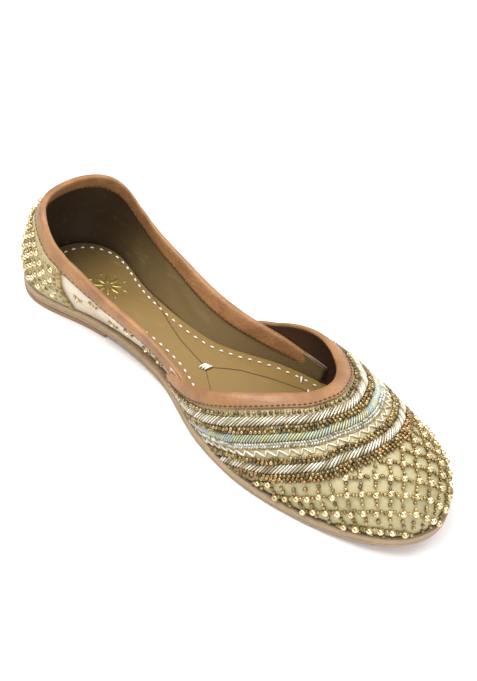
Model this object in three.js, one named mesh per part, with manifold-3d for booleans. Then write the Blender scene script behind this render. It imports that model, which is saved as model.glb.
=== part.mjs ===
// A mojari (jutti): a flat, hand-sewn leather slip-on with an open collar, standing on its sole.
// Millimetres. +X runs from heel to toe, +Z is up, and the shoe is the same left and right of Y = 0.
// The origin is on the floor, midway along the sole.
import * as THREE from 'three';
import Module from 'manifold-3d';
import { mergeVertices } from 'three/addons/utils/BufferGeometryUtils.js';

// ---- driving dimensions ----
const length = 245; // sole, heel back to toe tip
const ballWidth = 82; // sole, at its widest
const soleThickness = 4.2;
const soleRounding = 0.9; // the sole's burnished edge
const soleMargin = 2.2; // how far the sole stands out past the upper's foot
const liftHeight = 2.8; // heel lift under the sole, its gap included
const liftLength = 62;
const liftMargin = 0.6;
const liftRounding = 0.5;
const waistDrop = { from: 0.27, to: 0.46 }; // where the sole comes down from its lift
const toeSpring = 8; // how far the tip would rise by the end of its curve
const toeLift = { from: 0.76, to: 1.12 }; // where the sole curves up, as fractions of the length
const insoleThickness = 2.2;
const insoleRounding = 0.6;
const wall = 2; // leather of the vamp and of the quarter
const gap = 0.35; // between pieces that touch
const toeRound = 13; // how late the crest drops to the toe: larger is blunter
const quarterInset = 1.5; // how far inside the vamp's face the quarter is tucked
const quarterTuck = { from: 0.27, to: 0.38 }; // where the quarter moves in under the vamp
const bindingThickness = 1;
const vampBindingWidth = 6;
const quarterBindingWidth = 6.5;
const insoleClearance = 1; // least height of the binding's inner leg above the insole
const counterThickness = 1;
const counterGap = 0.6; // between the counter and the quarter under it
const counterEnd = 0.175; // the counter's front edge, as a fraction of the length
const heelLean = 8; // how far the heel's back leans forward at the collar
const collarHeight = 44; // quarter's top edge at the heel, above the upper's foot

// Plan of the sole, heel to toe: half-width as a fraction of half the ball width.
const plan = [
  { at: 0.015, half: 0.39 },
  { at: 0.08, half: 0.66 },
  { at: 0.22, half: 0.5 },
  { at: 0.4, half: 0.5 },
  { at: 0.56, half: 0.88 },
  { at: 0.68, half: 1 },
  { at: 0.82, half: 0.89 },
  { at: 0.92, half: 0.685 },
  { at: 0.985, half: 0.35 },
];

// Sections of the last: flare is how far the wall stands out past its foot at the height widest;
// crest is the height of the instep line. Heights are above the upper's foot.
const sections = [
  { at: 0, flare: 2, widest: 22, crest: 120 },
  { at: 0.08, flare: 3.5, widest: 22, crest: 112 },
  { at: 0.18, flare: 9.5, widest: 22, crest: 100 },
  { at: 0.3, flare: 11, widest: 23, crest: 84 },
  { at: 0.42, flare: 8.5, widest: 22, crest: 64 },
  { at: 0.52, flare: 4, widest: 17, crest: 46.5 },
  { at: 0.6, flare: 2, widest: 14, crest: 41.5 },
  { at: 0.7, flare: 1.2, widest: 12, crest: 38.5 },
  { at: 0.82, flare: 1, widest: 10.5, crest: 34 },
  { at: 0.92, flare: 0.8, widest: 9.5, crest: 29.5 },
  { at: 1, flare: 0, widest: 8, crest: 26 },
];

// Top edge of the quarter: height above the upper's foot, as a fraction of the collar height.
const topline = [
  { at: 0, rise: 1 },
  { at: 0.05, rise: 0.96 },
  { at: 0.15, rise: 0.72 },
  { at: 0.3, rise: 0.48 },
  { at: 0.43, rise: 0.39 },
  { at: 0.55, rise: 0.28 },
  { at: 0.64, rise: 0.19 },
];

// The vamp's throat, from its middle (across 0) to a rear corner (across 1): how far along the
// shoe it lies, and how far round the section, 0 at the crest and 1 at the foot. The first row
// mirrors the third, so that the throat's middle is round.
const throat = [
  { at: -0.2, along: 0.708, side: -0.12 },
  { at: 0, along: 0.722, side: 0 },
  { at: 0.2, along: 0.708, side: 0.12 },
  { at: 0.4, along: 0.667, side: 0.235 },
  { at: 0.6, along: 0.6, side: 0.4 },
  { at: 0.8, along: 0.525, side: 0.59 },
  { at: 1, along: 0.45, side: 0.79 },
];

const sectionSquareness = 1.95; // 2 is an ellipse above the widest level
const turning = 0.35; // share of a half section below its widest level
const quarterFront = 0.63; // front ends of the quarter, inside the vamp
const tiny = 1e-6;

// How finely the pieces are divided.
const soleSteps = 56;
const liftSteps = 14;
const insoleSteps = 48;
const quarterSteps = 64;
const quarterRows = 7;
const counterRows = 6;
const throatSteps = 44;
const probeStep = 0.02; // of the vamp's grid, when a distance is walked along it

// ---- interpolation ----

// Cubic Hermite curve through one column of a table whose rows are placed by "at".
function column(table, key) {
  const slope = table.map((row, i) => {
    const before = table[Math.max(i - 1, 0)];
    const after = table[Math.min(i + 1, table.length - 1)];
    return (after[key] - before[key]) / (after.at - before.at);
  });
  return (at) => {
    let i = 0;
    while (i < table.length - 2 && at > table[i + 1].at) i += 1;
    const span = table[i + 1].at - table[i].at;
    const t = (at - table[i].at) / span;
    const near = (1 + 2 * t) * (1 - t) ** 2 * table[i][key] + t * (1 - t) ** 2 * span * slope[i];
    const far = t * t * (3 - 2 * t) * table[i + 1][key] + t * t * (t - 1) * span * slope[i + 1];
    return near + far;
  };
}

const smooth = (low, high, value) => THREE.MathUtils.smoothstep(value, low, high);
const alongOf = (turn) => (1 - Math.cos(Math.PI * turn)) / 2;
const turnOf = (along) => Math.acos(1 - 2 * along) / Math.PI;

// ---- the last ----

// The plan is drawn as x = -cos, y = sin * breadth, so heel and toe close in round ends.
const breadthRows = plan.map(({ at, half }) => ({
  at: turnOf(at),
  breadth: (half * ballWidth) / 2 / Math.sin(Math.PI * turnOf(at)),
}));
const breadth = column(breadthRows, 'breadth');
const flare = column(sections, 'flare');
const widest = column(sections, 'widest');
const crest = column(sections, 'crest');
const collar = column(topline, 'rise');

// Height of the sole's under face: on the lift at the heel, flat at the forefoot, sprung at the toe.
function underside(x) {
  const along = x / length + 0.5;
  const heel = liftHeight * (1 - smooth(waistDrop.from, waistDrop.to, along));
  return heel + toeSpring * smooth(toeLift.from, toeLift.to, along);
}

const footHeight = (x) => underside(x) + soleThickness + gap;

// A point on the plan's outline moved in by inset, at turn 0 (heel back) to 1 (toe tip).
function outline(turn, inset) {
  const x = -(length / 2 - inset) * Math.cos(Math.PI * turn);
  const y = Math.sin(Math.PI * turn) * (breadth(turn) - inset);
  return [x, y];
}

// A point on the wall at a rise above the upper's foot, skin deep from the vamp's outer face.
function wallPoint(turn, rise, skin) {
  const along = alongOf(turn);
  const fade = Math.sqrt(1 - along ** toeRound);
  const belly = widest(along) * fade;
  const top = (crest(along) - skin) * fade;
  const below = Math.min(rise / Math.max(belly, tiny), 1);
  const above = THREE.MathUtils.clamp((rise - belly) / Math.max(top - belly, tiny), 0, 1);
  const inset = soleMargin + skin - flare(along) * Math.sin((below * Math.PI) / 2);
  const pinch = (1 - above ** sectionSquareness) ** (1 / sectionSquareness);
  const [x, y] = outline(turn, inset);
  const lean = heelLean * Math.max(rise / collarHeight, 0) ** 2 * (1 - along) ** 3;
  return [x + lean, y * pinch, footHeight(x) + rise];
}

// The same wall by its place round the section: side -1 and 1 are the feet, 0 is the crest.
function lastPoint(turn, side, skin) {
  const along = alongOf(turn);
  const fade = Math.sqrt(Math.max(1 - along ** toeRound, 0));
  const belly = widest(along) * fade;
  const top = (crest(along) - skin) * fade;
  const round = 1 - Math.abs(side);
  const lower = Math.min(round / turning, 1);
  const angle = (Math.max(round - turning, 0) / (1 - turning)) * (Math.PI / 2);
  const power = 2 / sectionSquareness;
  const rise = belly * lower + (top - belly) * Math.sin(angle) ** power;
  const inset = soleMargin + skin - flare(along) * Math.sin((lower * Math.PI) / 2);
  const [x, y] = outline(turn, inset);
  const pinch = Math.max(Math.cos(angle), 0) ** power;
  const lean = heelLean * Math.max(rise / collarHeight, 0) ** 2 * (1 - along) ** 3;
  return [x + lean, side === 0 ? 0 : Math.sign(side) * y * pinch, footHeight(x) + rise];
}

// ---- the vamp's own grid: across -1 to 1 round the throat, down from throat to foot ----

const throatAlong = column(throat, 'along');
const throatSide = column(throat, 'side');
const throatBackTurn = turnOf(throat[throat.length - 1].along);
const toeFan = 0.08; // share of the throat whose lines run to the toe tip

function vampGrid(across, down, skin) {
  const reach = Math.abs(across);
  const away = (Math.max(reach, toeFan) - toeFan) / (1 - toeFan);
  const footTurn = throatBackTurn + (1 - throatBackTurn) * (1 - away);
  const footSide = Math.min(reach / toeFan, 1);
  const turn = THREE.MathUtils.lerp(turnOf(throatAlong(reach)), footTurn, down);
  const side = THREE.MathUtils.lerp(throatSide(reach), footSide, down);
  return lastPoint(turn, Math.sign(across) * Math.min(Math.max(side, 0), 1), skin);
}

// How far down the grid a distance from the throat edge lies.
function downAt(across, distance) {
  const probe = probeStep * Math.sign(distance || 1);
  const start = vampGrid(across, 0, 0);
  let down = 0;
  let run = 0;
  let last = start;
  while (run < Math.abs(distance) && Math.abs(down) < 1) {
    const next = vampGrid(across, down + probe, 0);
    const step = Math.hypot(next[0] - last[0], next[1] - last[1], next[2] - last[2]);
    const part = Math.min((Math.abs(distance) - run) / step, 1);
    down += probe * part;
    run += step;
    last = next;
  }
  return down;
}

// ---- meshes ----

// A closed body from rings of points; open rows of rings are capped, pinched ends close themselves.
function ringBody(rings) {
  const count = rings[0].length;
  const index = [];
  for (let i = 0; i < rings.length - 1; i += 1) {
    for (let j = 0; j < count; j += 1) {
      const a = i * count + j;
      const b = i * count + ((j + 1) % count);
      index.push(a, b, a + count, b, b + count, a + count);
    }
  }
  // Caps join each point of a ring to its partner across the ring.
  const last = (rings.length - 1) * count;
  for (let j = 0; j < count / 2 - 1; j += 1) {
    const k = count - 1 - j;
    index.push(j, k, j + 1, j + 1, k, k - 1);
    index.push(last + j, last + j + 1, last + k, last + j + 1, last + k - 1, last + k);
  }
  return closed(rings.flat(), index);
}

// Merges shared points, drops faces of no area and turns the body's faces outward.
function closed(points, index) {
  const raw = new THREE.BufferGeometry();
  raw.setAttribute('position', new THREE.Float32BufferAttribute(points.flat(), 3));
  raw.setIndex(index);
  const merged = mergeVertices(raw, 1e-3);
  const kept = [];
  const order = merged.index.array;
  for (let i = 0; i < order.length; i += 3) {
    const [a, b, c] = [order[i], order[i + 1], order[i + 2]];
    if (a !== b && b !== c && c !== a) kept.push(a, b, c);
  }
  const position = merged.attributes.position;
  let volume = 0;
  const corner = (i) => new THREE.Vector3().fromBufferAttribute(position, i);
  for (let i = 0; i < kept.length; i += 3) {
    volume += corner(kept[i]).dot(corner(kept[i + 1]).cross(corner(kept[i + 2])));
  }
  if (volume < 0) kept.reverse();
  merged.setIndex(kept);
  return merged;
}

const wasm = await Module();
wasm.setup();

function toSolid(geometry) {
  const vertProperties = new Float32Array(geometry.attributes.position.array);
  const triVerts = new Uint32Array(geometry.index.array);
  return new wasm.Manifold(new wasm.Mesh({ numProp: 3, vertProperties, triVerts }));
}

function fromSolid(solid) {
  const { vertProperties, triVerts } = solid.getMesh();
  const geometry = new THREE.BufferGeometry();
  geometry.setAttribute('position', new THREE.BufferAttribute(vertProperties, 3));
  geometry.setIndex(new THREE.BufferAttribute(triVerts, 1));
  return geometry;
}

const steps = (count, from = 0, to = 1) =>
  Array.from({ length: count + 1 }, (_, i) => from + ((to - from) * i) / count);

// A flat piece following the plan: edge rows from under face to top face, mirrored across.
function slab(edge, turns, heightAt) {
  const rings = turns.map((turn) => {
    const half = edge.map(({ inset, up }) => {
      const [x, y] = outline(turn, inset);
      return [x, y, heightAt(x) + up];
    });
    return [...half, ...half.map(([x, y, z]) => [x, -y, z]).reverse()];
  });
  return ringBody(rings);
}

// A wall sheet from a surface function (a, b, skin): a runs round it, b up it.
function sheet(surface, arounds, ups, outer, inner) {
  const rings = arounds.map((a) => [
    ...ups.map((b) => surface(a, b, outer(a))),
    ...ups.map((b) => surface(a, b, inner(a))).reverse(),
  ]);
  return ringBody(rings);
}

// ---- the pieces ----

function makeOutsole() {
  const edge = [
    { inset: soleRounding, up: 0 },
    { inset: 0, up: soleRounding },
    { inset: 0, up: soleThickness - soleRounding },
    { inset: soleRounding, up: soleThickness },
  ];
  return slab(edge, steps(soleSteps), underside);
}

function makeHeelLift() {
  const top = liftHeight - gap;
  const edge = [
    { inset: liftMargin + liftRounding, up: 0 },
    { inset: liftMargin, up: liftRounding },
    { inset: liftMargin, up: top },
  ];
  return slab(edge, steps(liftSteps, 0, turnOf(liftLength / length)), () => 0);
}

function makeInsole() {
  const inset = soleMargin + wall + quarterInset + gap * 2;
  const edge = [
    { inset, up: 0 },
    { inset, up: insoleThickness - insoleRounding },
    { inset: inset + insoleRounding, up: insoleThickness },
  ];
  return slab(edge, steps(insoleSteps), footHeight);
}

// The quarter's skin depth: level with the vamp's face at the heel, tucked inside it further on.
const quarterSkin = (turn) =>
  quarterInset * smooth(quarterTuck.from, quarterTuck.to, alongOf(turn));

function quarterPoint(place, up, skin) {
  const turn = Math.abs(place);
  const [x, y, z] = wallPoint(turn, up * collarHeight * collar(alongOf(turn)), skin);
  return [x, Math.sign(place) * y, z];
}

const quarterReach = turnOf(quarterFront);
const quarterPlaces = steps(quarterSteps, -quarterReach, quarterReach);

function makeQuarter() {
  const ups = steps(quarterRows);
  const outer = (place) => quarterSkin(Math.abs(place));
  return sheet(quarterPoint, quarterPlaces, ups, outer, (place) => outer(place) + wall);
}

const throatPlaces = steps(throatSteps, -1, 1);

function makeVamp() {
  const rows = [0, 0.1, 0.2, 0.32, 0.45, 0.6, 0.74, 0.87, 1];
  return sheet(vampGrid, throatPlaces, rows, () => 0, () => wall);
}

function makeUpper() {
  return fromSolid(toSolid(makeVamp()).add(toSolid(makeQuarter())));
}

// A folded strip's section: its outer leg, its fold past the edge and its inner leg, then the same
// back along its under face. Each row is a distance from the edge and a skin depth.
function foldSection(outerLeg, innerLeg, outer, inner) {
  const lip = -gap - bindingThickness;
  const legs = [
    { distance: outerLeg, under: outer - gap, skin: outer - gap - bindingThickness },
    { distance: outerLeg / 2, under: outer - gap, skin: outer - gap - bindingThickness },
    { distance: lip, under: outer - gap, skin: outer - gap - bindingThickness },
    { distance: lip, under: inner + gap, skin: inner + gap + bindingThickness },
    { distance: innerLeg / 2, under: inner + gap, skin: inner + gap + bindingThickness },
    { distance: innerLeg, under: inner + gap, skin: inner + gap + bindingThickness },
  ];
  const face = legs.map(({ distance, skin }) => ({ distance, skin }));
  const back = legs.map(({ distance, under }) => ({ distance: Math.max(distance, -gap), skin: under }));
  return [...face, ...back.reverse()];
}

// The strip over the throat edge: outside the vamp and over its edge, short of the quarter inside.
function makeVampBinding() {
  const face = -gap - bindingThickness;
  const lip = -gap - bindingThickness;
  const edge = quarterInset - gap;
  const section = [
    { distance: vampBindingWidth, skin: face },
    { distance: vampBindingWidth / 2, skin: face },
    { distance: lip, skin: face },
    { distance: lip, skin: edge },
    { distance: -gap, skin: edge },
    { distance: -gap, skin: -gap },
    { distance: vampBindingWidth / 2, skin: -gap },
    { distance: vampBindingWidth, skin: -gap },
  ];
  const rings = throatPlaces.map((across) =>
    section.map(({ distance, skin }) => vampGrid(across, downAt(across, distance), skin)),
  );
  return ringBody(rings);
}

// The strip over the quarter's top edge, cut clear of the vamp that covers its front ends.
function makeQuarterBinding() {
  const rings = quarterPlaces.map((place) => {
    const turn = Math.abs(place);
    const outer = quarterSkin(turn);
    const edge = collarHeight * collar(alongOf(turn));
    const leg = Math.min(quarterBindingWidth, edge - insoleThickness - insoleClearance);
    return foldSection(leg, leg, outer, outer + wall).map(({ distance, skin }) => {
      const [x, y, z] = wallPoint(turn, edge - distance, skin);
      return [x, Math.sign(place) * y, z];
    });
  });
  const past = 1.02; // a little beyond the vamp's rear edges
  const above = -2 * gap - bindingThickness;
  const clear = steps(throatSteps, -past, past).map((across) => {
    const top = downAt(across, above);
    const rows = [top, 0.2, 0.45, 0.7, 1];
    const face = rows.map((down) => vampGrid(across, down, above));
    const back = rows.map((down) => vampGrid(across, down, wall + gap));
    return [...face, ...back.reverse()];
  });
  return fromSolid(toSolid(ringBody(rings)).subtract(toSolid(ringBody(clear))));
}

// The stiff cloth laid over the back of the heel, below the binding.
function makeHeelCounter() {
  const places = quarterPlaces.filter((place) => Math.abs(place) < turnOf(counterEnd));
  const top = (turn) => collarHeight * collar(alongOf(turn)) - quarterBindingWidth - gap;
  const surface = (place, up, skin) => {
    const turn = Math.abs(place);
    const [x, y, z] = wallPoint(turn, THREE.MathUtils.lerp(gap, top(turn), up), skin);
    return [x, Math.sign(place) * y, z];
  };
  const outer = -counterGap - counterThickness;
  return sheet(surface, places, steps(counterRows), () => outer, () => -counterGap);
}

const shoe = new THREE.Group();

function place(name, geometry, colour, roughness, metalness = 0) {
  geometry.computeVertexNormals();
  const material = new THREE.MeshStandardMaterial({ color: colour, roughness, metalness });
  const mesh = new THREE.Mesh(geometry, material);
  mesh.name = name;
  shoe.add(mesh);
}

place('outsole', makeOutsole(), 0xb59a72, 0.7);
place('heel_lift', makeHeelLift(), 0xa88a63, 0.75);
place('insole', makeInsole(), 0x7a6128, 0.5);
place('upper', makeUpper(), 0xc9bd86, 0.55);
place('vamp_binding', makeVampBinding(), 0xa9794a, 0.6);
place('quarter_binding', makeQuarterBinding(), 0xa9794a, 0.6);
place('heel_counter', makeHeelCounter(), 0xbfae74, 0.5, 0.3);

export default shoe;
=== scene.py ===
"""A mojari, a flat hand-sewn slip-on shoe: leather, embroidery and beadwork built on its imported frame.

Sizes in the classes are millimetres. Meshes are written in metres, in the frame's own axes:
+X from heel to toe, +Z up, the origin on the floor midway along the sole.
"""

import logging
import math
from collections.abc import Callable, Sequence
from dataclasses import dataclass, field
from enum import Enum
from typing import Any, NamedTuple

import bmesh
import bpy
import numpy as np
from mathutils import Matrix, Vector


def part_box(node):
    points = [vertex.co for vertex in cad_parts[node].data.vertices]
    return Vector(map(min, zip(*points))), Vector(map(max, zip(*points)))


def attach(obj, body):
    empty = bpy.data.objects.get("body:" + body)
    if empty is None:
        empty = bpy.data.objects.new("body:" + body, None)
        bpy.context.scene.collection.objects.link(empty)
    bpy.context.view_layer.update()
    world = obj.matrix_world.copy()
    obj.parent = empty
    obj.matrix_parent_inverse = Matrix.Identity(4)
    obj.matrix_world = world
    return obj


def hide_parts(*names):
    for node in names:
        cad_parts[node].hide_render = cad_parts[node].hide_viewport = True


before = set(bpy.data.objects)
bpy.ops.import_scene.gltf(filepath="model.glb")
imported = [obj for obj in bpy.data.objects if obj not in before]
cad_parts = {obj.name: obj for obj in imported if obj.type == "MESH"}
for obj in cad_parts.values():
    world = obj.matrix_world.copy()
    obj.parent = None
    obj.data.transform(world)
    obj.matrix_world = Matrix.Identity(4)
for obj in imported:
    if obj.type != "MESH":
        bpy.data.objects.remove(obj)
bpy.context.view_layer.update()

log = logging.getLogger("mojari")
MM = 0.001
UP = (0.0, 0.0, 1.0)


# ---- the last: the form that every leather piece lies on ----


class PlanRow(NamedTuple):
    """Half-width of the sole at a fraction of its length, as a fraction of half the ball width."""

    at: float
    half: float


class SectionRow(NamedTuple):
    """A section of the last: how far its wall flares, where it is widest, and its crest."""

    at: float
    flare: float
    widest: float
    crest: float


class EdgeRow(NamedTuple):
    """Height of the quarter's top edge, as a fraction of the collar height."""

    at: float
    rise: float


class ThroatRow(NamedTuple):
    """The throat from its middle to a rear corner: how far along the shoe and round the section."""

    at: float
    along: float
    side: float


class BreadthRow(NamedTuple):
    """Breadth of the plan at a turn from heel back to toe tip."""

    at: float
    breadth: float


PLAN = (
    PlanRow(0.015, 0.39),
    PlanRow(0.08, 0.66),
    PlanRow(0.22, 0.5),
    PlanRow(0.4, 0.5),
    PlanRow(0.56, 0.88),
    PlanRow(0.68, 1),
    PlanRow(0.82, 0.89),
    PlanRow(0.92, 0.685),
    PlanRow(0.985, 0.35),
)
SECTIONS = (
    SectionRow(0, 2, 22, 120),
    SectionRow(0.08, 3.5, 22, 112),
    SectionRow(0.18, 9.5, 22, 100),
    SectionRow(0.3, 11, 23, 84),
    SectionRow(0.42, 8.5, 22, 64),
    SectionRow(0.52, 4, 17, 46.5),
    SectionRow(0.6, 2, 14, 41.5),
    SectionRow(0.7, 1.2, 12, 38.5),
    SectionRow(0.82, 1, 10.5, 34),
    SectionRow(0.92, 0.8, 9.5, 29.5),
    SectionRow(1, 0, 8, 26),
)
TOPLINE = (
    EdgeRow(0, 1),
    EdgeRow(0.05, 0.96),
    EdgeRow(0.15, 0.72),
    EdgeRow(0.3, 0.48),
    EdgeRow(0.43, 0.39),
    EdgeRow(0.55, 0.28),
    EdgeRow(0.64, 0.19),
)
THROAT = (
    ThroatRow(-0.2, 0.708, -0.12),
    ThroatRow(0, 0.722, 0),
    ThroatRow(0.2, 0.708, 0.12),
    ThroatRow(0.4, 0.667, 0.235),
    ThroatRow(0.6, 0.6, 0.4),
    ThroatRow(0.8, 0.525, 0.59),
    ThroatRow(1, 0.45, 0.79),
)


class Crease(NamedTuple):
    """A soft trough, or a ridge where deep is negative, in millimetres, lying at an angle in degrees."""

    x: float
    y: float
    turned: float
    long: float
    wide: float
    deep: float


# On the quarter, y is the rise, counted negative on the near side; on the vamp it runs round from the crest.
QUARTER_CREASES = (
    Crease(-84, -24, 80, 13, 2.6, 0.5),
    Crease(-79, -22, 76, 12, 2.4, -0.35),
    Crease(-58, -13, 62, 9, 2.2, 0.5),
    Crease(-53, -12, 58, 8, 2, -0.3),
    Crease(-42, -9, 20, 14, 2.6, 0.35),
    Crease(-86, 24, -78, 13, 2.6, 0.5),
    Crease(-80, 21, -72, 12, 2.4, -0.35),
    Crease(-60, 13, -60, 9, 2.2, 0.45),
    Crease(-44, 9, -18, 14, 2.6, 0.35),
)
VAMP_CREASES = (
    Crease(52, -12, 68, 15, 3, 0.4),
    Crease(57, -6, 74, 14, 2.8, -0.3),
    Crease(53, 16, -64, 14, 3, 0.4),
    Crease(88, -14, 50, 12, 4, 0.35),
    Crease(90, 15, -55, 12, 4, 0.35),
)
INSOLE_CREASES = (
    Crease(-88, 0, 0, 24, 17, 0.45),
    Crease(34, -2, 80, 28, 20, 0.4),
    Crease(-46, -6, 62, 12, 2.4, 0.3),
    Crease(-40, -4, 66, 12, 2.4, -0.22),
    Crease(-6, 14, 70, 10, 2.2, 0.25),
    Crease(10, -14, 76, 13, 2.6, 0.3),
    Crease(16, -13, 78, 13, 2.4, -0.2),
)


def trough(creases: Sequence[Crease], x: np.ndarray, y: np.ndarray) -> np.ndarray:
    """Depth of a set of creases at each place."""
    total = np.zeros(np.broadcast(x, y).shape)
    for crease in creases:
        angle = math.radians(crease.turned)
        ahead, aside = x - crease.x, y - crease.y
        along = ahead * math.cos(angle) + aside * math.sin(angle)
        over = aside * math.cos(angle) - ahead * math.sin(angle)
        total = total + crease.deep * np.exp(-((along / crease.long) ** 2) - (over / crease.wide) ** 2)
    return total


class Column:
    """A smooth curve through one column of a table."""

    def __init__(self, rows: Sequence[NamedTuple], key: str) -> None:
        """Takes the column's values and works out its slopes.

        Args:
            rows: the table, whose first column places each row.
            key: name of the column.
        """
        self.at = np.array([row.at for row in rows], float)
        self.value = np.array([getattr(row, key) for row in rows], float)
        after = np.append(np.arange(1, len(rows)), len(rows) - 1)
        before = np.insert(np.arange(len(rows) - 1), 0, 0)
        self.slope = (self.value[after] - self.value[before]) / (self.at[after] - self.at[before])

    def __call__(self, at: np.ndarray | float) -> np.ndarray:
        """The curve's value at a place, or at each of many places."""
        at = np.asarray(at, float)
        i = np.searchsorted(self.at[1:-1], at, side="left")
        span = self.at[i + 1] - self.at[i]
        t = (at - self.at[i]) / span
        near = (1 + 2 * t) * (1 - t) ** 2 * self.value[i] + t * (1 - t) ** 2 * span * self.slope[i]
        rise = t * t * (t - 1) * span * self.slope[i + 1]
        return near + t * t * (3 - 2 * t) * self.value[i + 1] + rise


def smooth(low: float, high: float, value: np.ndarray | float) -> np.ndarray:
    """An eased step from 0 at low to 1 at high."""
    t = np.clip((np.asarray(value, float) - low) / (high - low), 0, 1)
    return t * t * (3 - 2 * t)


def along_of(turn: np.ndarray | float) -> np.ndarray:
    """Fraction of the length reached at a turn of the plan."""
    return (1 - np.cos(np.pi * np.asarray(turn, float))) / 2


def turn_of(along: np.ndarray | float) -> np.ndarray:
    """Turn of the plan at a fraction of the length."""
    return np.arccos(np.clip(1 - 2 * np.asarray(along, float), -1, 1)) / np.pi


def unit(vectors: np.ndarray) -> np.ndarray:
    """Vectors brought to length 1."""
    return vectors / np.maximum(np.linalg.norm(vectors, axis=-1, keepdims=True), 1e-12)


@dataclass
class Last:
    """The last's surface.

    A skin is a depth in from the vamp's outer face; a rise is a height above its foot.
    """

    length: float = 245
    ball_width: float = 82
    sole_thickness: float = 4.2
    sole_margin: float = 2.2
    lift_height: float = 2.8
    toe_spring: float = 8
    gap: float = 0.35
    wall: float = 2
    toe_round: float = 13
    quarter_inset: float = 1.5
    heel_lean: float = 8
    collar_height: float = 44
    squareness: float = 1.95
    turning: float = 0.35
    crease_girth: float = 50
    toe_fan: float = 0.08
    quarter_front: float = 0.63

    def __post_init__(self) -> None:
        """Draws the curves of the last through its tables."""
        rows = [
            BreadthRow(turn_of(r.at), r.half * self.ball_width / 2 / np.sin(np.pi * turn_of(r.at)))
            for r in PLAN
        ]
        self.breadth = Column(rows, "breadth")
        self.flare = Column(SECTIONS, "flare")
        self.widest = Column(SECTIONS, "widest")
        self.crest = Column(SECTIONS, "crest")
        self.collar = Column(TOPLINE, "rise")
        self.throat_along = Column(THROAT, "along")
        self.throat_side = Column(THROAT, "side")
        self.rear_turn = turn_of(THROAT[-1].along)
        self.quarter_reach = float(turn_of(self.quarter_front))

    def underside(self, x: np.ndarray) -> np.ndarray:
        """Height of the sole's under face: on the lift at the heel, flat at the ball, sprung at the toe."""
        along = x / self.length + 0.5
        heel = self.lift_height * (1 - smooth(0.27, 0.46, along))
        return heel + self.toe_spring * smooth(0.76, 1.12, along)

    def foot(self, x: np.ndarray) -> np.ndarray:
        """Height of the upper's foot."""
        return self.underside(x) + self.sole_thickness + self.gap

    def outline(self, turn: np.ndarray, inset: np.ndarray | float) -> tuple[np.ndarray, np.ndarray]:
        """A point on the sole's outline moved in by inset."""
        x = -(self.length / 2 - inset) * np.cos(np.pi * turn)
        return x, np.sin(np.pi * turn) * (self.breadth(turn) - inset)

    def top_edge(self, turn: np.ndarray) -> np.ndarray:
        """Rise of the quarter's top edge."""
        return self.collar_height * self.collar(along_of(turn))

    def quarter_skin(self, turn: np.ndarray) -> np.ndarray:
        """Depth of the quarter: level with the vamp's face at the heel, tucked inside it further on."""
        return self.quarter_inset * smooth(0.27, 0.38, along_of(turn))

    def on_wall(self, place: np.ndarray, rise: np.ndarray, skin: np.ndarray | float) -> np.ndarray:
        """Points on the quarter's wall.

        Args:
            place: turn of the plan, negative on one side of the shoe.
            rise: height above the upper's foot.
            skin: depth in from the vamp's outer face.

        Returns:
            Points, one to a place.
        """
        turn = np.abs(place)
        along = along_of(turn)
        fade = np.sqrt(np.clip(1 - along**self.toe_round, 0, 1))
        belly = self.widest(along) * fade
        top = (self.crest(along) - skin) * fade
        below = np.clip(rise / np.maximum(belly, 1e-6), None, 1)
        above = np.clip((rise - belly) / np.maximum(top - belly, 1e-6), 0, 1)
        signed = np.sign(place) * rise
        skin = skin + trough(QUARTER_CREASES, (along - 0.5) * self.length, signed) * smooth(2, 6, rise)
        inset = self.sole_margin + skin - self.flare(along) * np.sin(below * np.pi / 2)
        pinch = (1 - above**self.squareness) ** (1 / self.squareness)
        x, y = self.outline(turn, inset)
        lean = self.heel_lean * np.clip(rise / self.collar_height, 0, None) ** 2 * (1 - along) ** 3
        return np.stack([x + lean, np.sign(place) * y * pinch, self.foot(x) + rise], axis=-1)

    def on_section(self, turn: np.ndarray, side: np.ndarray, skin: np.ndarray | float) -> np.ndarray:
        """Points by their place round a section: side 0 is the crest, -1 and 1 are the feet."""
        along = along_of(turn)
        fade = np.sqrt(np.clip(1 - along**self.toe_round, 0, 1))
        belly = self.widest(along) * fade
        top = (self.crest(along) - skin) * fade
        up = 1 - np.abs(side)
        lower = np.clip(up / self.turning, 0, 1)
        angle = np.clip(up - self.turning, 0, None) / (1 - self.turning) * np.pi / 2
        power = 2 / self.squareness
        rise = belly * lower + (top - belly) * np.sin(angle) ** power
        skin = skin + trough(VAMP_CREASES, (along - 0.5) * self.length, side * self.crease_girth)
        inset = self.sole_margin + skin - self.flare(along) * np.sin(lower * np.pi / 2)
        x, y = self.outline(turn, inset)
        pinch = np.clip(np.cos(angle), 0, None) ** power
        lean = self.heel_lean * np.clip(rise / self.collar_height, 0, None) ** 2 * (1 - along) ** 3
        return np.stack([x + lean, np.sign(side) * y * pinch, self.foot(x) + rise], axis=-1)

    def vamp_place(self, across: np.ndarray, down: np.ndarray) -> tuple[np.ndarray, np.ndarray]:
        """Turn and side of a point of the vamp's grid, from throat (down 0) to foot (down 1)."""
        reach = np.abs(across)
        away = (np.maximum(reach, self.toe_fan) - self.toe_fan) / (1 - self.toe_fan)
        foot_turn = self.rear_turn + (1 - self.rear_turn) * (1 - away)
        foot_side = np.minimum(reach / self.toe_fan, 1)
        start = turn_of(self.throat_along(reach))
        turn = start + (foot_turn - start) * down
        rear = self.throat_side(reach)
        side = np.clip(rear + (foot_side - rear) * down, 0, 1)
        return turn, np.sign(across) * side

    def on_vamp(self, across: np.ndarray, down: np.ndarray, skin: np.ndarray | float) -> np.ndarray:
        """Points on the vamp by their place across the throat and down to the foot."""
        turn, side = self.vamp_place(across, down)
        return self.on_section(turn, side, skin)

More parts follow.
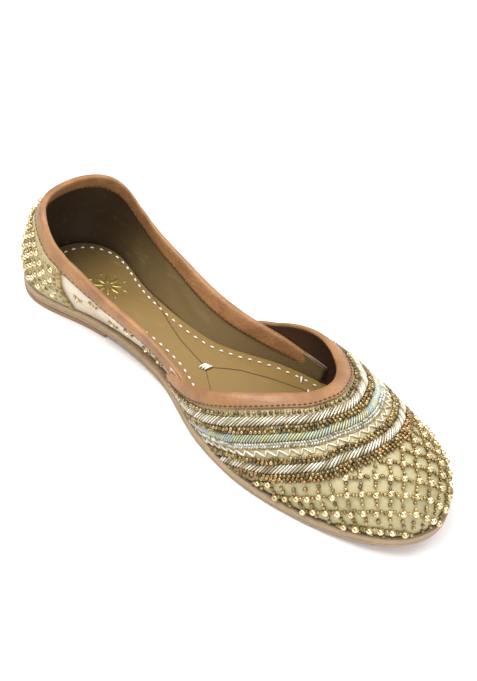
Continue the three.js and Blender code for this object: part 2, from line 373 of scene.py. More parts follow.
    def down_at(self, across: np.ndarray, distance: np.ndarray | float) -> np.ndarray:
        """How far down the vamp's grid a distance from the throat's edge lies.

        Args:
            across: places across the throat.
            distance: distances from its edge, one for each place, less than 0 off the edge.

        Returns:
            The places down the grid, above 1 past the foot.
        """
        across = np.atleast_1d(across)
        distance = np.broadcast_to(distance, across.shape)
        downs = np.linspace(-0.2, 1, 121)
        path = self.on_vamp(across[:, None], downs[None, :], 0.0)
        run = np.cumsum(np.linalg.norm(np.diff(path, axis=1), axis=2), axis=1)
        run = np.concatenate([np.zeros((len(across), 1)), run], axis=1)
        run -= run[:, [20]]
        found = [np.interp(d, r, downs, right=2.0) for d, r in zip(distance, run)]
        return np.array(found)


# ---- shader graphs ----


class Val:
    """A shader value: a socket that takes part in Python arithmetic by adding Math nodes."""

    def __init__(self, graph: "Graph", socket: Any) -> None:
        """Keeps the socket and the graph it is in."""
        self.graph = graph
        self.socket = socket

    def math(self, operation: str, other: Any = None, third: Any = None) -> "Val":
        """This value put through one Math node."""
        sources = [x for x in (self, other, third) if x is not None]
        return self.graph.node("ShaderNodeMath", {"operation": operation}, dict(enumerate(sources)))

    def __add__(self, other: Any) -> "Val":
        """Sum."""
        return self.math("ADD", other)

    def __sub__(self, other: Any) -> "Val":
        """Difference."""
        return self.math("SUBTRACT", other)

    def __mul__(self, other: Any) -> "Val":
        """Product."""
        return self.math("MULTIPLY", other)

    def __truediv__(self, other: Any) -> "Val":
        """Quotient."""
        return self.math("DIVIDE", other)

    def __rsub__(self, other: float) -> "Val":
        """Difference from a number."""
        return self.graph.node("ShaderNodeMath", {"operation": "SUBTRACT"}, {0: other, 1: self})

    __radd__ = __add__
    __rmul__ = __mul__

    def step(self, low: float, high: float) -> "Val":
        """An eased 0 to 1 as this value goes from low to high."""
        settings = {"interpolation_type": "SMOOTHSTEP"}
        inputs = {"Value": self, "From Min": low, "From Max": high}
        return self.graph.node("ShaderNodeMapRange", settings, inputs)


@dataclass
class Graph:
    """The node tree of one material."""

    name: str

    def __post_init__(self) -> None:
        """Makes an empty material with its output."""
        self.material = bpy.data.materials.new(self.name)
        self.material.use_nodes = True
        self.tree = self.material.node_tree
        self.tree.nodes.clear()
        self.output = self.tree.nodes.new("ShaderNodeOutputMaterial")

    def node(
        self,
        kind: str,
        settings: dict[str, Any] | None = None,
        inputs: dict[Any, Any] | None = None,
        out: Any = 0,
    ) -> Val:
        """Adds one node.

        Args:
            kind: the node's type.
            settings: its properties, set first; "stops" fills a colour ramp.
            inputs: values or links of its sockets, by name or number.
            out: the output to give back, by name or number.

        Returns:
            The output as a value.
        """
        made = self.tree.nodes.new(kind)
        for key, value in (settings or {}).items():
            if key == "stops":
                self.fill_ramp(made.color_ramp, value)
            else:
                setattr(made, key, value)
        for key, value in (inputs or {}).items():
            if isinstance(value, Val):
                self.tree.links.new(value.socket, made.inputs[key])
            else:
                made.inputs[key].default_value = value
        return Val(self, made.outputs[out])

    @staticmethod
    def fill_ramp(ramp: bpy.types.ColorRamp, stops: Sequence[tuple[float, Sequence[float]]]) -> None:
        """Gives a colour ramp its stops."""
        while len(ramp.elements) < len(stops):
            ramp.elements.new(0.5)
        for element, (at, colour) in zip(ramp.elements, stops):
            element.position = at
            element.color = (*colour, 1)

    def place(self, scale: Sequence[float] = (1, 1, 1)) -> Val:
        """The object's own coordinates in millimetres, scaled again."""
        where = self.node("ShaderNodeTexCoord", out="Object")
        size = [s / MM for s in scale]
        return self.node("ShaderNodeVectorMath", {"operation": "MULTIPLY"}, {0: where, 1: size})

    def noise(self, size: float, detail: float = 2, scale: Sequence[float] = (1, 1, 1)) -> Val:
        """Cloudy noise whose blots are about size millimetres across."""
        inputs = {"Vector": self.place(scale), "Scale": 1 / size, "Detail": detail}
        return self.node("ShaderNodeTexNoise", {}, inputs)

    def cells(self, size: float, feature: str = "F1") -> Val:
        """Distance to the nearest of scattered points about size millimetres apart."""
        inputs = {"Vector": self.place(), "Scale": 1 / size}
        return self.node("ShaderNodeTexVoronoi", {"feature": feature}, inputs, "Distance")

    def attribute(self, name: str, out: str = "Fac") -> Val:
        """A value kept with the mesh."""
        return self.node("ShaderNodeAttribute", {"attribute_name": name}, out=out)

    def mix(self, share: Any, first: Any, second: Any, blend: str = "MIX") -> Val:
        """Two colours mixed; a colour is three numbers or a value."""
        first, second = (c if isinstance(c, Val) else (*c, 1) for c in (first, second))
        settings = {"data_type": "RGBA", "blend_type": blend}
        return self.node("ShaderNodeMix", settings, {0: share, 6: first, 7: second}, 2)

    def ramp(self, value: Val, stops: Sequence[tuple[float, Sequence[float]]], ease: str = "LINEAR") -> Val:
        """A value turned into a colour."""
        made = self.node("ShaderNodeValToRGB", {"stops": stops}, {0: value})
        made.socket.node.color_ramp.interpolation = ease
        return made

    def bump(self, height: Val, depth: float, strength: float = 1.0) -> Val:
        """A normal from a height, whose full range is depth millimetres."""
        inputs = {"Height": height, "Distance": depth * MM, "Strength": strength}
        return self.node("ShaderNodeBump", {}, inputs)

    def finish(self, **inputs: Any) -> bpy.types.Material:
        """Adds the surface shader with these inputs, underscores standing for spaces.

        Returns:
            The finished material.
        """
        named = {key.replace("_", " "): value for key, value in inputs.items()}
        named = {k: (*v, 1) if isinstance(v, tuple) and len(v) == 3 else v for k, v in named.items()}
        shader = self.node("ShaderNodeBsdfPrincipled", {}, named)
        self.tree.links.new(shader.socket, self.output.inputs["Surface"])
        return self.material


# ---- mesh tools ----


def as_object(bm: bmesh.types.BMesh, name: str, *materials: bpy.types.Material) -> bpy.types.Object:
    """Writes a bmesh, in millimetres, as a smooth-shaded object in metres.

    Args:
        bm: the finished bmesh, which is freed.
        name: name of the piece.
        materials: its materials, in slot order.

    Returns:
        The new object, linked to the scene.
    """
    bmesh.ops.scale(bm, vec=(MM, MM, MM), verts=bm.verts)
    mesh = bpy.data.meshes.new(name)
    bm.to_mesh(mesh)
    bm.free()
    for material in materials:
        mesh.materials.append(material)
    mesh.shade_smooth()
    piece = bpy.data.objects.new(name, mesh)
    bpy.context.scene.collection.objects.link(piece)
    return piece


def ready(
    piece: bpy.types.Object, replaces: Sequence[str] = (), body: str = "root"
) -> bpy.types.Object:
    """Puts a piece on its body, hides the CAD nodes it stands for, and reports it."""
    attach(piece, body)
    if replaces:
        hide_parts(*replaces)
    log.info("%s: %d faces", piece.name, len(piece.data.polygons))
    return piece


def stretched_grid(columns: int, rows: int, place: Callable[..., np.ndarray]) -> bmesh.types.BMesh:
    """A grid laid over a surface.

    Args:
        columns: faces along the first direction.
        rows: faces along the second.
        place: turns arrays of both directions, each 0 to 1, into points.

    Returns:
        The laid grid.
    """
    bm = bmesh.new()
    bmesh.ops.create_grid(bm, x_segments=columns, y_segments=rows, size=0.5)
    flat = np.array([v.co for v in bm.verts])[:, :2] + 0.5
    for vert, point in zip(bm.verts, place(flat[:, 0], flat[:, 1])):
        vert.co = point
    return bm


def closed_skin(bm: bmesh.types.BMesh, merge: float = 0.01) -> bmesh.types.BMesh:
    """Joins the seams and poles of a wrapped grid and turns its faces outward."""
    bmesh.ops.remove_doubles(bm, verts=bm.verts, dist=merge)
    loose = [f for f in bm.faces if f.calc_area() < 1e-7]
    bmesh.ops.delete(bm, geom=loose, context="FACES")
    bmesh.ops.recalc_face_normals(bm, faces=bm.faces)
    return bm


def wrapped(columns: int, ring: np.ndarray, place: Callable[..., np.ndarray]) -> bmesh.types.BMesh:
    """A closed skin whose section, a closed ring of places, runs along a first direction.

    Args:
        columns: faces along the piece.
        ring: the section's points, each of two numbers that place understands.
        place: turns arrays of the first direction and of ring rows into points.

    Returns:
        The skin, open ends filled.
    """
    loop = np.vstack([ring, ring[:1]])
    spots = np.arange(len(loop))

    def on_ring(along: np.ndarray, around: np.ndarray) -> np.ndarray:
        at = around * (len(loop) - 1)
        pair = np.stack([np.interp(at, spots, loop[:, k]) for k in range(2)], axis=-1)
        return place(along, pair)

    bm = stretched_grid(columns, len(loop) - 1, on_ring)
    bmesh.ops.remove_doubles(bm, verts=bm.verts, dist=0.01)
    bmesh.ops.holes_fill(bm, edges=[e for e in bm.edges if e.is_boundary], sides=len(loop) + 4)
    return closed_skin(bm)


@dataclass
class Spots:
    """Places for the copies of a small shape: points, directions along and away, and sizes."""

    at: np.ndarray
    along: np.ndarray
    away: np.ndarray
    size: np.ndarray
    tint: np.ndarray

    @classmethod
    def of(cls, at: np.ndarray, along: np.ndarray, away: np.ndarray, size: Any, tint: Any = 0.0) -> "Spots":
        """Spots with one size, or one for each."""
        count = len(at)
        size = np.broadcast_to(np.atleast_2d(np.asarray(size, float)), (count, 3))
        return cls(at, along, away, size.copy(), np.broadcast_to(tint, (count,)).copy())

    def __add__(self, other: "Spots") -> "Spots":
        """Both sets together."""
        pairs = ((getattr(self, k), getattr(other, k)) for k in self.__dataclass_fields__)
        return Spots(*(np.concatenate(pair) for pair in pairs))

    def turns(self) -> np.ndarray:
        """Euler angles that bring X along and Z away."""
        x = unit(self.along)
        y = unit(np.cross(self.away, x))
        z = np.cross(x, y)
        about_y = -np.arcsin(np.clip(x[:, 2], -1, 1))
        about_x = np.arctan2(y[:, 2], z[:, 2])
        return np.stack([about_x, about_y, np.arctan2(x[:, 1], x[:, 0])], axis=-1)


class Shape(Enum):
    """Small shapes that are repeated."""

    BEAD = "bead"
    STRAND = "strand"
    LEAF = "leaf"


def small_shape(shape: Shape) -> bmesh.types.BMesh:
    """A small shape of unit size, its back on the surface it is sewn to."""
    bm = bmesh.new()
    if shape is Shape.BEAD:
        bmesh.ops.create_uvsphere(bm, u_segments=8, v_segments=6, radius=0.5)
        bmesh.ops.translate(bm, vec=(0, 0, 0.42), verts=bm.verts)
        return bm
    bmesh.ops.create_uvsphere(bm, u_segments=6, v_segments=6, radius=0.5)
    bmesh.ops.rotate(bm, matrix=Matrix.Rotation(math.pi / 2, 3, "Y"), verts=bm.verts)
    blunt = 0.6 if shape is Shape.STRAND else 1.0
    for vert in bm.verts:
        share = 2 * vert.co.x
        vert.co.x = 0.5 * math.copysign(abs(share) ** blunt, share)
        if shape is Shape.STRAND:
            vert.co.z += 0.9 * (1 - share * share)
    return bm


def scattered(name: str, shape: Shape, spots: Spots, material: bpy.types.Material) -> bpy.types.Object:
    """Copies of one small shape joined as a piece, instanced on points and made real.

    Args:
        name: name of the piece.
        shape: which small shape.
        spots: where each copy goes, in millimetres.
        material: finish of every copy.

    Returns:
        The joined piece.
    """
    mould = as_object(small_shape(shape), f"{name}_mould", material)
    points = bmesh.new()
    for spot in spots.at:
        points.verts.new(spot)
    piece = as_object(points, name, material)
    for key, kind, values in (
        ("turn", "FLOAT_VECTOR", spots.turns()),
        ("size", "FLOAT_VECTOR", spots.size),
        ("tint", "FLOAT", spots.tint),
    ):
        layer = piece.data.attributes.new(key, kind, "POINT")
        field_name = "vector" if kind == "FLOAT_VECTOR" else "value"
        layer.data.foreach_set(field_name, values.astype(np.float32).ravel())
    modifier = piece.modifiers.new("copies", "NODES")
    modifier.node_group = copying_nodes(mould)
    made = bpy.data.meshes.new_from_object(piece.evaluated_get(bpy.context.evaluated_depsgraph_get()))
    piece.modifiers.clear()
    bpy.data.node_groups.remove(bpy.data.node_groups["copying"])
    piece.data = made
    made.name = name
    bpy.data.objects.remove(mould)
    made.shade_smooth()
    return piece


def copying_nodes(mould: bpy.types.Object) -> bpy.types.NodeTree:
    """Nodes that put a copy of the mould on each point by its turn and size, and join them."""
    tree = bpy.data.node_groups.new("copying", "GeometryNodeTree")
    tree.interface.new_socket("Geometry", in_out="INPUT", socket_type="NodeSocketGeometry")
    tree.interface.new_socket("Geometry", in_out="OUTPUT", socket_type="NodeSocketGeometry")
    new, link = tree.nodes.new, tree.links.new
    source, sink = new("NodeGroupInput"), new("NodeGroupOutput")
    to_points, copies, join = new("GeometryNodeMeshToPoints"), new("GeometryNodeInstanceOnPoints"), new(
        "GeometryNodeRealizeInstances"
    )
    shape = new("GeometryNodeObjectInfo")
    shape.inputs["Object"].default_value = mould
    link(source.outputs[0], to_points.inputs["Mesh"])
    link(to_points.outputs[0], copies.inputs["Points"])
    link(shape.outputs["Geometry"], copies.inputs["Instance"])
    for key, socket in (("turn", "Rotation"), ("size", "Scale")):
        named = new("GeometryNodeInputNamedAttribute")
        named.data_type = "FLOAT_VECTOR"
        named.inputs["Name"].default_value = key
        link(named.outputs["Attribute"], copies.inputs[socket])
    link(copies.outputs[0], join.inputs[0])
    link(join.outputs[0], sink.inputs[0])
    return tree


# ---- finishes ----


@dataclass(frozen=True)
class Leather:
    """Grained leather, paler or darker in clouds, with fine pores."""

    name: str
    colour: tuple[float, float, float]
    shade: tuple[float, float, float]
    roughness: float = 0.5
    grain: float = 1.1
    depth: float = 0.12
    gloss: float = 0.1

    def material(self) -> bpy.types.Material:
        """The leather as a material."""
        g = Graph(self.name)
        clouds = g.noise(14, 3).step(0.35, 0.7)
        fine = g.noise(1.6, 3)
        base = g.mix(clouds * 0.75, self.colour, self.shade)
        base = g.mix((1 - fine.step(0.3, 0.55)) * 0.3, base, self.shade)
        pebble = g.cells(self.grain, "SMOOTH_F1")
        height = pebble * 0.7 + fine * 0.6
        rough = fine * 0.25 + (self.roughness - 0.12)
        normal = g.bump(height, self.depth)
        return g.finish(Base_Color=base, Roughness=rough, Normal=normal, Coat_Weight=self.gloss)


@dataclass(frozen=True)
class HeelToneAndShadeLeather:
    """Smooth leather that darkens towards the heel: painted shade there, on the quarter lining mixed with
    its own darker brown.
    """

    name: str
    light: tuple[float, float, float]
    dark: tuple[float, float, float]
    dark_at: float
    light_at: float
    roughness: float = 0.38

    def material(self) -> bpy.types.Material:
        """The leather as a material."""
        g = Graph(self.name)
        x = g.node("ShaderNodeSeparateXYZ", {}, {0: g.place()}, "X")
        clouds = g.noise(22, 3)
        # Painted shade: the colour goes dark towards the dark_at end, deep in the heel where the inside lies
        # in shade.
        share = (x + (clouds - 0.5) * 30).step(self.dark_at, self.light_at)
        base = g.mix(share, self.dark, self.light)
        fine = g.noise(0.9, 3)
        scuffs = g.noise(3, 4, (0.25, 1, 1)).step(0.58, 0.75)
        base = g.mix(scuffs * 0.25, base, tuple(c * 1.5 for c in self.light))
        height = fine * 0.5 + g.cells(1.3) * 0.5
        rough = fine * 0.2 + scuffs * 0.12 + (self.roughness - 0.1)
        return g.finish(Base_Color=base, Roughness=rough, Normal=g.bump(height, 0.06), Coat_Weight=0.08)


@dataclass(frozen=True)
class Silk:
    """Thin woven silk: two sets of threads, slubs, and a soft sheen."""

    name: str
    colour: tuple[float, float, float]
    thread: tuple[float, float, float]
    pitch: float = 0.55

    def material(self) -> bpy.types.Material:
        """The silk as a material."""
        g = Graph(self.name)
        where = g.place()
        turns = 2 * math.pi / self.pitch / 20
        inputs = {"Vector": where, "Scale": turns, "Distortion": 0.6}
        bands = {"wave_type": "BANDS", "bands_direction": "X"}
        warp = g.node("ShaderNodeTexWave", bands, inputs, "Fac")
        bands = {"wave_type": "BANDS", "bands_direction": "Y"}
        weft = g.node("ShaderNodeTexWave", bands, inputs, "Fac")
        slub = g.noise(2.5, 3, (0.4, 1.6, 1)).step(0.4, 0.75)
        clouds = g.noise(12, 2).step(0.3, 0.75)
        base = g.mix(warp * 0.35 + slub * 0.3, self.colour, self.thread)
        base = g.mix(clouds * 0.3, base, tuple(c * 0.72 for c in self.colour))
        normal = g.bump(warp * 0.5 + weft * 0.5, 0.12)
        rough = weft * 0.2 + 0.38
        return g.finish(
            Base_Color=base,
            Roughness=rough,
            Normal=normal,
            Metallic=slub * 0.3,
            Sheen_Weight=0.35,
            Sheen_Roughness=0.4,
        )


@dataclass(frozen=True)
class BeadMetal:
    """Plated beads, each a little lighter, darker or duller than its neighbours."""

    name: str
    colour: tuple[float, float, float]
    dark: tuple[float, float, float]
    roughness: float = 0.2

    def material(self) -> bpy.types.Material:
        """The plating as a material."""
        g = Graph(self.name)
        tint = g.attribute("tint")
        wear = g.noise(0.8, 2).step(0.45, 0.8)
        base = g.mix(tint, self.colour, self.dark)
        base = g.mix(wear * 0.35, base, self.dark)
        rough = wear * 0.2 + tint * 0.08 + self.roughness
        return g.finish(Base_Color=base, Roughness=rough, Metallic=1.0 - wear * 0.15)


@dataclass(frozen=True)
class WireThread:
    """Metal embroidery thread wound from fine wire."""

    name: str
    stops: tuple[tuple[float, tuple[float, float, float]], ...]
    metal: float = 0.75
    roughness: float = 0.32

    def material(self) -> bpy.types.Material:
        """The thread as a material, coloured by each strand's tint."""
        g = Graph(self.name)
        base = g.ramp(g.attribute("tint"), self.stops)
        winding = g.noise(0.35, 2, (1, 1, 1.4))
        base = g.mix(winding.step(0.5, 0.8) * 0.45, base, (0.16, 0.12, 0.06))
        rough = winding * 0.3 + (self.roughness - 0.1)
        return g.finish(Base_Color=base, Roughness=rough, Metallic=self.metal, Normal=g.bump(winding, 0.2))


@dataclass(frozen=True)
class Cotton:
    """Spun cotton thread."""

    name: str
    colour: tuple[float, float, float]

    def material(self) -> bpy.types.Material:
        """The thread as a material."""
        g = Graph(self.name)
        fibres = g.noise(0.3, 3)
        base = g.mix(fibres.step(0.4, 0.8) * 0.5, self.colour, tuple(c * 0.6 for c in self.colour))
        return g.finish(Base_Color=base, Roughness=0.85, Normal=g.bump(fibres, 0.15), Sheen_Weight=0.2)


@dataclass(frozen=True)
class SoleLeather:
    """Vegetable-tanned sole leather in stacked layers, its cut edge burnished and its under face scuffed."""

    name: str
    colour: tuple[float, float, float]
    seam: tuple[float, float, float]
    foot: tuple[float, float, float]

    def material(self) -> bpy.types.Material:
        """The leather as a material; "level" is the height above the sole's under face, in millimetres."""
        g = Graph(self.name)
        level = g.attribute("level")
        fibres = g.noise(1.2, 4, (0.25, 0.25, 2.5))
        clouds = g.noise(9, 3)
        base = g.mix(clouds.step(0.3, 0.7) * 0.5, self.colour, tuple(c * 0.8 for c in self.colour))
        base = g.mix(fibres.step(0.45, 0.8) * 0.35, base, self.seam)
        layer = level - 1.6 + (clouds - 0.5) * 0.25
        line = 1 - layer.math("ABSOLUTE").step(0.08, 0.32)
        base = g.mix(line * 0.6, base, self.seam)
        base = g.mix((1 - level.step(0.1, 1.3)) * 0.55, base, self.foot)
        height = fibres * 0.5 - line * 0.6
        return g.finish(Base_Color=base, Roughness=fibres * 0.25 + 0.45, Normal=g.bump(height, 0.2))


TAN = Leather("tan_leather", (0.38, 0.185, 0.07), (0.22, 0.1, 0.036), 0.54, 1.3, 0.28)
IVORY = Leather("ivory_leather", (0.7, 0.61, 0.48), (0.56, 0.45, 0.33), 0.4, 1.6, 0.06, 0.2)
BROWN_LINING = Leather("brown_lining", (0.075, 0.028, 0.014), (0.035, 0.014, 0.008), 0.6, 0.9, 0.08)
# Both darken towards the heel: on the insole this is painted shade, on the quarter lining partly painted
# shade and partly its own darker brown.
OLIVE_LINING = HeelToneAndShadeLeather("olive_lining", (0.165, 0.112, 0.044), (0.034, 0.02, 0.01), -118, -40)
SOCK = HeelToneAndShadeLeather("sock_leather", (0.25, 0.155, 0.045), (0.1, 0.062, 0.02), -120, -30)
GREEN_SILK = Silk("green_gold_silk", (0.5, 0.43, 0.23), (0.64, 0.56, 0.34))
COUNTER_SILK = Silk("counter_silk", (0.42, 0.35, 0.17), (0.56, 0.48, 0.27))
GOLD = BeadMetal("champagne_beads", (0.92, 0.79, 0.5), (0.5, 0.37, 0.18), 0.16)
ANTIQUE = BeadMetal("antique_beads", (0.56, 0.43, 0.2), (0.13, 0.085, 0.035), 0.24)
COPPER = BeadMetal("copper_beads", (0.55, 0.34, 0.15), (0.18, 0.1, 0.04), 0.26)
SILVER_WIRE = WireThread(
    "silver_bullion", ((0, (0.88, 0.83, 0.72)), (0.5, (0.74, 0.67, 0.52)), (1, (0.36, 0.29, 0.17)))
)
CRIMP_WIRE = WireThread(
    "white_crimp", ((0, (0.86, 0.85, 0.78)), (0.7, (0.58, 0.57, 0.47)), (1, (0.25, 0.23, 0.14))), 0.6
)
GOLD_WIRE = WireThread("gold_cord", ((0, (0.66, 0.5, 0.23)), (1, (0.28, 0.19, 0.08))), 0.9)
RAINBOW = WireThread(
    "iridescent_floss",
    (
        (0, (0.62, 0.5, 0.46)),
        (0.12, (0.38, 0.5, 0.5)),
        (0.24, (0.62, 0.56, 0.26)),
        (0.36, (0.42, 0.55, 0.48)),
        (0.48, (0.64, 0.58, 0.3)),
        (0.6, (0.38, 0.52, 0.55)),
        (0.7, (0.64, 0.56, 0.38)),
        (0.82, (0.6, 0.38, 0.4)),
        (0.92, (0.55, 0.38, 0.52)),
        (1, (0.62, 0.6, 0.5)),
    ),
    0.4,
    0.28,
)
WHITE_COTTON = Cotton("white_cotton", (0.85, 0.82, 0.74))
BROWN_COTTON = Cotton("brown_thread", (0.09, 0.045, 0.02))
FOIL = BeadMetal("gold_foil", (0.85, 0.68, 0.22), (0.6, 0.45, 0.12), 0.3)
SOLE = SoleLeather("sole_leather", (0.41, 0.295, 0.175), (0.15, 0.09, 0.045), (0.4, 0.24, 0.18))
LIFT = SoleLeather("lift_leather", (0.33, 0.22, 0.12), (0.13, 0.07, 0.035), (0.29, 0.16, 0.1))


# ---- the pieces ----

Surface = Callable[[np.ndarray, np.ndarray, Any], np.ndarray]


def frames(
    surface: Surface, first: np.ndarray, second: np.ndarray, skin: float
) -> tuple[np.ndarray, np.ndarray]:
    """Points on a surface and their directions away from it."""
    tiny = 1e-4
    at = surface(first, second, skin)
    one = surface(first + tiny, second, skin) - surface(first - tiny, second, skin)
    two = surface(first, second + tiny, skin) - surface(first, second - tiny, skin)
    away = unit(np.cross(one, two))
    out = surface(first, second, skin - 1) - at
    return at, away * np.sign((away * out).sum(-1, keepdims=True))


def evenly(path: np.ndarray, pitch: float, start: float = 0.0) -> np.ndarray:
    """Places of even spacing along a path, as fractions of its list of points."""
    run = np.concatenate([[0], np.cumsum(np.linalg.norm(np.diff(path, axis=0), axis=1))])
    wanted = np.arange(start, run[-1], pitch)
    return np.interp(wanted, run, np.linspace(0, 1, len(path)))


def two_faced(steps: int, outer: float, inner: float) -> np.ndarray:
    """The profile of a sheet: up its outer face, then back down its inner one."""
    levels = np.linspace(0, 1, steps)
    return np.array([(u, outer) for u in levels] + [(u, inner) for u in levels[::-1]])


def drift(points: np.ndarray) -> np.ndarray:
    """Direction of travel at each point of a row."""
    return unit(np.gradient(points, axis=0))


def set_levels(piece: bpy.types.Object, last: Last) -> None:
    """Keeps each vertex's height above the sole's under face, for the layers of the edge."""
    co = np.array([v.co for v in piece.data.vertices]) / MM
    layer = piece.data.attributes.new("level", "FLOAT", "POINT")
    layer.data.foreach_set("value", (co[:, 2] - last.underside(co[:, 0])).astype(np.float32))


@dataclass
class Bottom:
    """Outsole, heel lift and insole, with the insole's stitches and ornament."""

    last: Last
    rounding: float = 0.9
    lift_length: float = 62
    lift_margin: float = 0.6
    sock_inset: float = 6.4
    sock_thickness: float = 2.2
    stitch_inset: float = 4.6
    stitch_pitch: float = 4.8
    rosette_at: tuple[float, float] = (-80, 2)

    def slab(
        self, turns: tuple[float, float], inset: float, thick: float, base: Callable, steps: int, soft: bool
    ) -> Any:
        """A flat piece on the plan, its long edges rounded.

        Args:
            turns: first and last turn of the plan.
            inset: how far its edge lies in from the sole's outline.
            thick: its thickness.
            base: height of its under face at x.
            steps: faces along it.
            soft: whether its face carries the insole's creases.

        Returns:
            The slab as a bmesh.
        """
        r = self.rounding / 35
        top = [(f, thick) for f in np.linspace(1 - r, r - 1, 22)]
        edge = [(1 - r, 0), (1 - r / 3, 0.2), (1, 0.7), (1, thick - 0.7), (1 - r / 3, thick - 0.15)]
        ring = np.array(edge + top + [(-f, up) for f, up in reversed(edge)])

        def place(along: np.ndarray, pair: np.ndarray) -> np.ndarray:
            turn = turns[0] + (turns[1] - turns[0]) * along
            x, y = self.last.outline(turn, inset)
            pressed = trough(INSOLE_CREASES, x, y * pair[:, 0]) * (pair[:, 1] >= self.sock_thickness) * soft
            return np.stack([x, y * pair[:, 0], base(x) + pair[:, 1] - pressed], axis=-1)

        return wrapped(steps, ring, place)

    def build(self) -> None:
        """Makes the three leather pieces."""
        last = self.last
        outsole = self.slab((0, 1), 0, last.sole_thickness, last.underside, 150, False)
        sole = as_object(outsole, "outsole_leather", SOLE.material())
        set_levels(sole, last)
        ready(sole, ["outsole"])
        reach = float(turn_of(self.lift_length / last.length))
        flat = self.slab((0, reach), self.lift_margin, last.lift_height - last.gap, np.zeros_like, 40, False)
        lift = as_object(flat, "heel_lift_leather", LIFT.material())
        set_levels(lift, last)
        ready(lift, ["heel_lift"])
        bed = self.slab((0, 1), self.sock_inset, self.sock_thickness, last.foot, 150, True)
        ready(as_object(bed, "insole_leather", SOCK.material()), ["insole"])

    def top(self, x: np.ndarray, y: np.ndarray, up: float = 0.0) -> np.ndarray:
        """Points on the insole."""
        bed = self.last.foot(x) + self.sock_thickness - trough(INSOLE_CREASES, x, y)
        return np.stack([x, y, bed + up], axis=-1)

    def row(self, points: np.ndarray, pitch: float, size: Sequence[float]) -> Spots:
        """Stitches laid end to end along a route on the insole."""
        share = evenly(points, pitch, pitch / 2)
        spots = np.arange(len(points)) / (len(points) - 1)
        at = np.stack([np.interp(share, spots, points[:, k]) for k in range(3)], axis=-1)
        up = np.tile(UP, (len(at), 1))
        return Spots.of(at, drift(at), up, size)

    def stitch(self) -> None:
        """Adds the white stitches, dark strands painted as the shadow lines at the flap's edges, and the
        knot where those edges meet.
        """
        place = np.linspace(-0.62, 0.66, 400)
        x, y = self.last.outline(np.abs(place), self.sock_inset + self.stitch_inset)
        white = self.row(self.top(x, np.sign(place) * y, 0.05), self.stitch_pitch, (2.1, 1.15, 0.5))
        knot = self.top(np.array([-11.9, -10.6, -9.3]), np.array([-2.4, -2.0, -1.6]), 0.2)
        slant = np.tile([0.2, 0.98, 0.0], (3, 1))
        white += Spots.of(knot, slant, np.tile(UP, (3, 1)), (5.2, 1.2, 1.0))
        loops = self.top(np.array([24.5, 32.3]), np.array([27.4, 22.9]), 0.3)
        slant, up = np.tile([0.6, -0.8, 0.0], (2, 1)), np.tile(UP, (2, 1))
        white += Spots.of(loops, slant, up, (4.6, 1.1, 0.9))
        ready(scattered("insole_stitches", Shape.STRAND, white, WHITE_COTTON.material()))
        # Routes of the flap's edges; the dark strands laid along them are painted shadow lines where the
        # thin flap steps onto the insole.
        flaps = (
            ((-60, 13.5), (-50, 9.2), (-41, 5.4), (-31, 2), (-21, 0.2), (-12, -1.6)),
            ((-10, -1), (-4, 5), (1, 9.4), (13.5, 16.5), (27, 22.3), (33, 24.4)),
            ((-10.5, -2), (-6, -6), (1, -11.5), (12, -18)),
        )
        edges = []
        for points, width in zip(flaps, (0.55, 0.6, 0.34)):
            route = np.array(points, float)
            at = np.linspace(0, 1, 120)
            knots = np.linspace(0, 1, len(route))
            flat = [np.interp(at, knots, route[:, k]) for k in range(2)]
            edges.append(self.row(self.top(*flat, -width * 0.25), 1.1, (2.6, width, width * 0.5)))
        dark = edges[0] + edges[1] + edges[2]
        ready(scattered("insole_flap_edges", Shape.STRAND, dark, BROWN_COTTON.material()))

    def rosette(self) -> None:
        """Presses a round gold flower of eight petals into the heel of the insole."""
        foil = None
        for count, radius, size, start in ((8, 4.6, (5.6, 2.3, 0.16), 0.0), (8, 9.2, (2.2, 1.1, 0.16), 0.5)):
            turns = (np.arange(count) + start) * 2 * math.pi / count
            around = np.stack([np.cos(turns), np.sin(turns), np.zeros(count)], axis=-1)
            places = np.array(self.rosette_at) + around[:, :2] * radius
            at = self.top(places[:, 0], places[:, 1], 0.03)
            ring = Spots.of(at, around, np.tile(UP, (count, 1)), size)
            foil = ring if foil is None else foil + ring
        ready(scattered("insole_rosette", Shape.LEAF, foil, FOIL.material()))

    def dress(self) -> None:
        """Adds everything sewn or pressed into the insole."""
        self.stitch()
        self.rosette()


@dataclass
class Upper:
    """Vamp and quarter, each a cloth or leather face over its lining."""

    last: Last
    face: float = 0.5
    vamp_wall: float = 1.45
    seam: float = 0.03

    def vamp_sheet(self, name: str, outer: float, inner: float, finish: Any) -> None:
        """One layer of the vamp between two skin depths."""
        ring = two_faced(56, outer, inner)

        def place(along: np.ndarray, pair: np.ndarray) -> np.ndarray:
            return self.last.on_vamp(2 * along - 1, pair[:, 0], pair[:, 1])

        piece = as_object(wrapped(180, ring, place), name, finish.material())
        ready(piece, ["upper"])

    def quarter_sheet(self, name: str, outer: float, inner: float, finish: Any) -> None:
        """One layer of the quarter between two depths in from its face."""
        ring = two_faced(30, outer, inner)

        def place(along: np.ndarray, pair: np.ndarray) -> np.ndarray:
            where = (2 * along - 1) * self.last.quarter_reach
            turn = np.abs(where)
            rise = pair[:, 0] * self.last.top_edge(turn)
            return self.last.on_wall(where, rise, self.last.quarter_skin(turn) + pair[:, 1])

        piece = as_object(wrapped(240, ring, place), name, finish.material())
        ready(piece, ["upper"])

    def build(self) -> None:
        """Makes the four layers."""
        self.vamp_sheet("vamp_silk", 0, self.face, GREEN_SILK)
        self.vamp_sheet("vamp_lining", self.face + self.seam, self.vamp_wall, BROWN_LINING)
        self.quarter_sheet("quarter_leather", 0, self.face, IVORY)
        self.quarter_sheet("quarter_lining", self.face + self.seam, self.last.wall, OLIVE_LINING)


